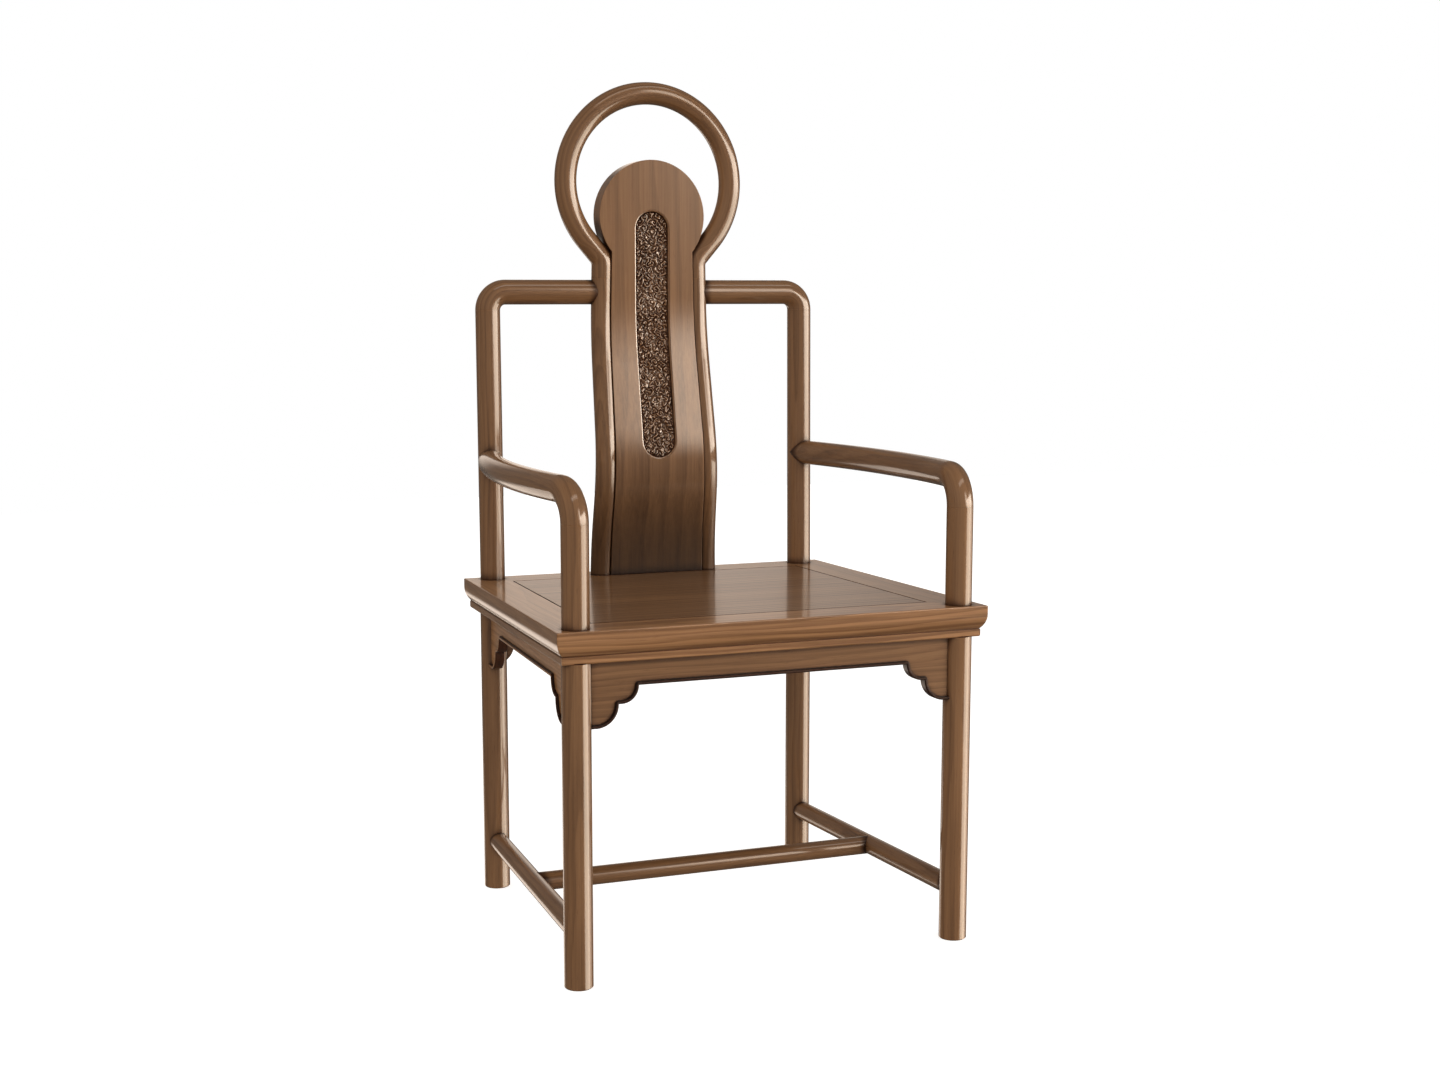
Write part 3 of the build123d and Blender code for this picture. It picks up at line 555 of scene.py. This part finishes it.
def elbow_grain(axis, sign, middle, height, radius):
    """Grain for a rod that runs level along an axis and turns down at an elbow."""
    beside = "X" if axis == "Y" else "Y"

    def follow(wires):
        place = wires.place()
        bend = wires.node("Group", node_tree=bent_grain)
        run = wires.maths("MULTIPLY_ADD", place[axis], sign, -sign * middle)
        wires.feed(bend.inputs["Run"], run)
        wires.feed(bend.inputs["Rise"], wires.maths("SUBTRACT", place["Z"], height))
        bend.inputs["Radius"].default_value = radius
        return bend.outputs["Along"], bend.outputs["Out"], place[beside]
    return follow


arm_height, arm_bend = 0.658, 0.042
rail_height, rail_bend = 0.910, 0.027
rail_turn = back_leg_x - rail_bend
post_corner = 0.018
arm_grain = elbow_grain("Y", 1.0, arm_bend - leg_y, arm_height - arm_bend, arm_bend)
left_rail_grain = elbow_grain("X", 1.0, -rail_turn, rail_height - rail_bend, rail_bend)
right_rail_grain = elbow_grain("X", -1.0, rail_turn, rail_height - rail_bend, rail_bend)
left_arm_pith, right_arm_pith = (0.04, 0.30), (0.05, -0.31)
left_rail_pith, right_rail_pith = (0.05, -0.22), (0.05, -0.18)
finish("left_arm_post", arm_grain, left_arm_pith, tone=0.99, corner_size=post_corner)
finish("right_arm_post", arm_grain, right_arm_pith, tone=0.96, corner_size=post_corner)
finish("left_back_post", left_rail_grain, left_rail_pith, tone=0.93, corner_size=post_corner)
finish("right_back_post", right_rail_grain, right_rail_pith, tone=0.90, corner_size=post_corner)

# Arms. Each is one walnut rod, let into the back post, straight for most of its length
# and bent down at its front end over the arm post.
post_y_at_arm, post_radius = 0.2437, 0.0185
# The arms carry painted shade where they meet the back posts.
finish("left_arm", arm_grain, left_arm_pith, tone=0.99, corner_size=rod_corner,
       joints=(("X", "Y", -back_leg_x, post_y_at_arm, post_radius),))
finish("right_arm", arm_grain, right_arm_pith, tone=0.92, corner_size=rod_corner,
       joints=(("X", "Y", back_leg_x, post_y_at_arm, post_radius),))

# Stiles. Two walnut rods at the sides of the splat, bent with it to the curve of the sitter's
# back and tenoned into the seat frame. Painted shade darkens their feet towards the seat.
finish("left_stile", "Z", (0.12, -0.19), tone=0.86, corner_size=0.005,
       darker_below=(0.50, 0.72, 0.42))
finish("right_stile", "Z", (-0.12, -0.20), tone=0.86, corner_size=0.005,
       darker_below=(0.50, 0.68, 0.45))

# Top rails. Short level rods of walnut let into the stiles, each bent down at its outer end
# over the back post.
stile_x, stile_y, stile_radius = 0.0765, 0.242, 0.0166
# The top rails carry painted shade where they meet the stiles.
finish("left_top_rail", left_rail_grain, left_rail_pith, tone=0.94, corner_size=rod_corner,
       joints=(("X", "Y", -stile_x, stile_y, stile_radius),))
finish("right_top_rail", right_rail_grain, right_rail_pith, tone=0.92, corner_size=rod_corner,
       joints=(("X", "Y", stile_x, stile_y, stile_radius),))

# Ring. The head of the back, of the same walnut rod, scarfed and dowelled together from a crown
# and two shoulders that turn out of the stiles.
ring_height, ring_radius = 1.0746, 0.1326
neck_spread, neck_start, neck_end, neck_run = 0.0749, -0.088, -0.118, 0.2217


def ring_grain(wires):
    """Grain that goes round the ring, and straight down each neck below it."""
    place = wires.place()
    across = wires.maths("ABSOLUTE", place["X"])
    height = wires.maths("SUBTRACT", place["Z"], ring_height)
    turn = wires.maths("MULTIPLY", wires.maths("ARCTAN2", across, height), ring_radius)
    out = wires.maths("SUBTRACT", wires.flat_length(across, height), ring_radius)
    neck = wires.ramp(height, neck_start, neck_end)
    down = wires.maths("SUBTRACT", neck_run, height)
    aside = wires.maths("SUBTRACT", across, neck_spread)
    blended = []
    for round_the_ring, below in ((turn, down), (out, aside)):
        both = wires.node("Mix", data_type="FLOAT")
        for number, given in ((0, neck), (2, round_the_ring), (3, below)):
            wires.feed(both.inputs[number], given)
        blended.append(both.outputs[0])
    return blended[0], blended[1], place["Y"]


finish("ring_crown", ring_grain, (0.043, -0.21), tone=0.95)
finish("left_ring_shoulder", ring_grain, (0.040, -0.20), tone=0.95)
finish("right_ring_shoulder", ring_grain, (0.046, -0.20), tone=0.95)
finish("ring_dowels", "Z", (0.05, 0.04), blur=hidden_blur)

# Splat. One walnut board with a round head, sawn to the curve of the sitter's back, tenoned
# into the seat frame and dowelled to the stiles. It has a recess for the carving. Painted shade
# darkens it towards the seat and beside the stiles, and its edges are painted lighter, partly as
# a painted highlight.
finish("splat", "Z", (0.35, -0.22), tone=0.97, figure=0.6, streaks=0.6, year_width=0.030,
       corner_size=0.020, edge_rub=0.5, darker_below=(0.50, 0.72, 0.27))
finish("splat_dowels", "X", (0.05, 0.04), blur=hidden_blur)

# Carving. A long walnut panel with round ends, carved all over with a cloud of small curling
# scrolls inside a rounded rim. It is let into the splat, with its ground below the splat's face
# and its crests just short of it.
panel_low, panel_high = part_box("carved_panel")
panel_radius = (panel_high[0] - panel_low[0]) / 2
carving_depth = 0.0044
ground_drop = 0.0047
rim_rise = 0.0070
rim_width = 0.0020
step = 0.0006
panel_mesh = nodes["carved_panel"].data
panel_tree = BVHTree.FromPolygons([vertex.co for vertex in panel_mesh.vertices],
                                  [tuple(face.vertices) for face in panel_mesh.polygons])


def scroll_field(x, z):
    """How high the carving stands at each point of a grid: 0 at the ground, 1 on the crests."""
    draw = random.Random(11)
    spacing, row_share, stray = 0.0118, 0.87, 0.33
    wobble, eye, valley = 0.0016, 0.0022, 0.0016
    far_off = 9.0
    turn = 2 * math.pi
    x, z = (x + wobble * np.sin(turn * z / 0.0131 + 2.1 * np.sin(turn * x / 0.0233)),
            z + wobble * np.sin(turn * x / 0.0117 + 1.7 * np.sin(turn * z / 0.0291)))
    scrolls = []
    for row in range(-1, int((panel_high[2] - panel_low[2]) / (spacing * row_share)) + 3):
        for column in range(-4, 5):
            scrolls.append((
                (column + 0.5 * (row % 2) + draw.uniform(-stray, stray)) * spacing,
                panel_low[2] + (row * row_share + draw.uniform(-stray, stray)) * spacing,
                draw.choice((-1.0, 1.0)),
                draw.uniform(0, 1),
                draw.uniform(0.0046, 0.0064),
                draw.uniform(0.66, 1.0),
            ))
    nearest = np.full(x.shape, far_off)
    second = np.full(x.shape, far_off)
    height = np.zeros(x.shape)
    for middle_x, middle_z, hand, start, pitch, top in scrolls:
        dx, dz = x - middle_x, z - middle_z
        reach = np.hypot(dx, dz)
        swirl = reach / pitch + hand * np.arctan2(dz, dx) / turn + start
        crest = (0.5 + 0.5 * np.cos(turn * swirl)) ** 0.75
        crest = top * np.maximum(crest, np.clip(1 - reach / eye, 0, 1))
        closer = reach < nearest
        second = np.where(closer, nearest, np.minimum(second, reach))
        height = np.where(closer, crest, height)
        nearest = np.where(closer, reach, nearest)
    between = np.clip((second - nearest) / valley, 0, 1)
    return np.clip(height * between ** 0.5, 0, 1)


def rows_of_panel():
    """The heights of the grid's rows, closer at the ends, and half the panel's width at each."""
    turn = np.linspace(0.04, math.pi / 2, int(panel_radius * 1.3 / step))[:-1]
    end = panel_radius * (1 - np.sin(turn))[::-1]
    half = (panel_radius * np.cos(turn))[::-1]
    straight = np.arange(panel_low[2] + panel_radius, panel_high[2] - panel_radius, step)
    heights = np.concatenate((panel_low[2] + end, straight, (panel_high[2] - end)[::-1]))
    return heights, np.concatenate((half, np.full(len(straight), panel_radius), half[::-1]))


def panel_face(heights, side):
    """How far back the plain panel's face is at each height: its front (-1) or its back (1)."""
    off_the_middle, inside = 0.0013, 0.0005
    found = []
    for height in np.clip(heights, panel_low[2] + inside, panel_high[2] - inside):
        start = Vector((off_the_middle, side, height))
        hit = panel_tree.ray_cast(start, Vector((0, -side, 0)))[0]
        found.append(hit.y if hit else found[-1])
    return np.array(found)


def carved_mesh():
    """The panel's mesh: a fine grid over the carved front, a wall all round and a plain back."""
    heights, halves = rows_of_panel()
    columns = int(2.5 * panel_radius / step) + 1
    crowding = 1.25
    across = np.sin(np.linspace(-1, 1, columns) * crowding)[None, :]
    x = across / math.sin(crowding) * halves[:, None]
    z = np.repeat(heights[:, None], columns, axis=1)
    nearest = np.clip(z, panel_low[2] + panel_radius, panel_high[2] - panel_radius)
    to_rim = panel_radius - np.hypot(x, z - nearest)
    clear_of_rim, rim_start, rim_fall = 0.0003, 0.0011, 0.0008
    crest = scroll_field(x, z) * np.clip((to_rim - rim_width - clear_of_rim) / rim_start, 0, 1)
    front, back = panel_face(heights, -1), panel_face(heights, 1)
    top_of_rim = 0.75 * rim_width
    rounding = rim_width - np.sqrt(rim_width ** 2 - np.clip(to_rim, 0, top_of_rim) ** 2)
    fall = np.clip((to_rim - top_of_rim) / rim_fall, 0, 1)
    roll = (1 - rounding / rim_rise) * (1 - fall)
    y = front[:, None] + ground_drop - carving_depth * crest - rim_rise * roll
    points = list(map(tuple, np.stack((x, y, z), axis=2).reshape(-1, 3).tolist()))
    count = len(heights)
    behind = len(points)
    for i in range(count):
        for way in (-1, 1):
            points.append((way * float(halves[i]), float(back[i]), float(heights[i])))
    faces = []
    for i in range(count - 1):
        row = i * columns
        faces += [(k, k + 1, k + 1 + columns, k + columns) for k in range(row, row + columns - 1)]
    carved = len(faces)
    for i in range(count - 1):
        left, right, row = behind + 2 * i, behind + 2 * i + 1, i * columns
        faces.append((left, row, row + columns, left + 2))
        faces.append((row + columns - 1, right, right + 2, row + 2 * columns - 1))
        faces.append((right, left, left + 2, right + 2))
    top = (count - 1) * columns
    faces.append((behind, behind + 1, *range(columns - 1, -1, -1)))
    faces.append((*range(top, top + columns), behind + 2 * count - 1, behind + 2 * count - 2))
    made = bpy.data.meshes.new("carving")
    made.from_pydata(points, [], faces)
    made.polygons.foreach_set("use_smooth", [k < carved for k in range(len(faces))])
    made.validate()
    return made


carving = bpy.data.objects.new("carving", carved_mesh())
bpy.context.scene.collection.objects.link(carving)
# The carving's hollows get deep painted shade, and its crests are painted lighter, partly as a
# painted highlight.
carving.data.materials.append(walnut_material(
    "carving_walnut", "Z", (0.35, -0.22), tone=1.02, corner_size=0.006, corner_painted_shade=1.0,
    edge_rub=1.6, blur=0.12, index=2.7))
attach(carving, "root")
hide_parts("carved_panel")

# Floor. A plain pale studio floor under the four feet, which runs into the white cove
# and takes nothing from the light on the chair.
floor_reach, floor_glow = 6, 0.78
floor_mesh = bpy.data.meshes.new("floor")
floor_corners = [(x * floor_reach, y * floor_reach, 0)
                 for x, y in ((-1, -1), (1, -1), (1, 1), (-1, 1))]
floor_mesh.from_pydata(floor_corners, [], [(0, 1, 2, 3)])
floor = bpy.data.objects.new("floor", floor_mesh)
bpy.context.scene.collection.objects.link(floor)
pale = bpy.data.materials.new("pale_floor")
pale.use_nodes = True
pale_wires = Wiring(pale.node_tree)
pale_surface = pale.node_tree.nodes["Principled BSDF"]
pale_surface.inputs["Base Color"].default_value = (0.8, 0.8, 0.8, 1)
pale_surface.inputs["Roughness"].default_value = 1.0
pale_surface.inputs["Specular IOR Level"].default_value = 0.0
pale_surface.inputs["Emission Color"].default_value = (1, 1, 1, 1)
seen = pale_wires.node("LightPath").outputs["Is Camera Ray"]
glow = pale_wires.maths("MULTIPLY", seen, floor_glow)
pale_wires.feed(pale_surface.inputs["Emission Strength"], glow)
floor_mesh.materials.append(pale)
floor.visible_glossy = False
floor.visible_diffuse = False
floor.visible_shadow = False
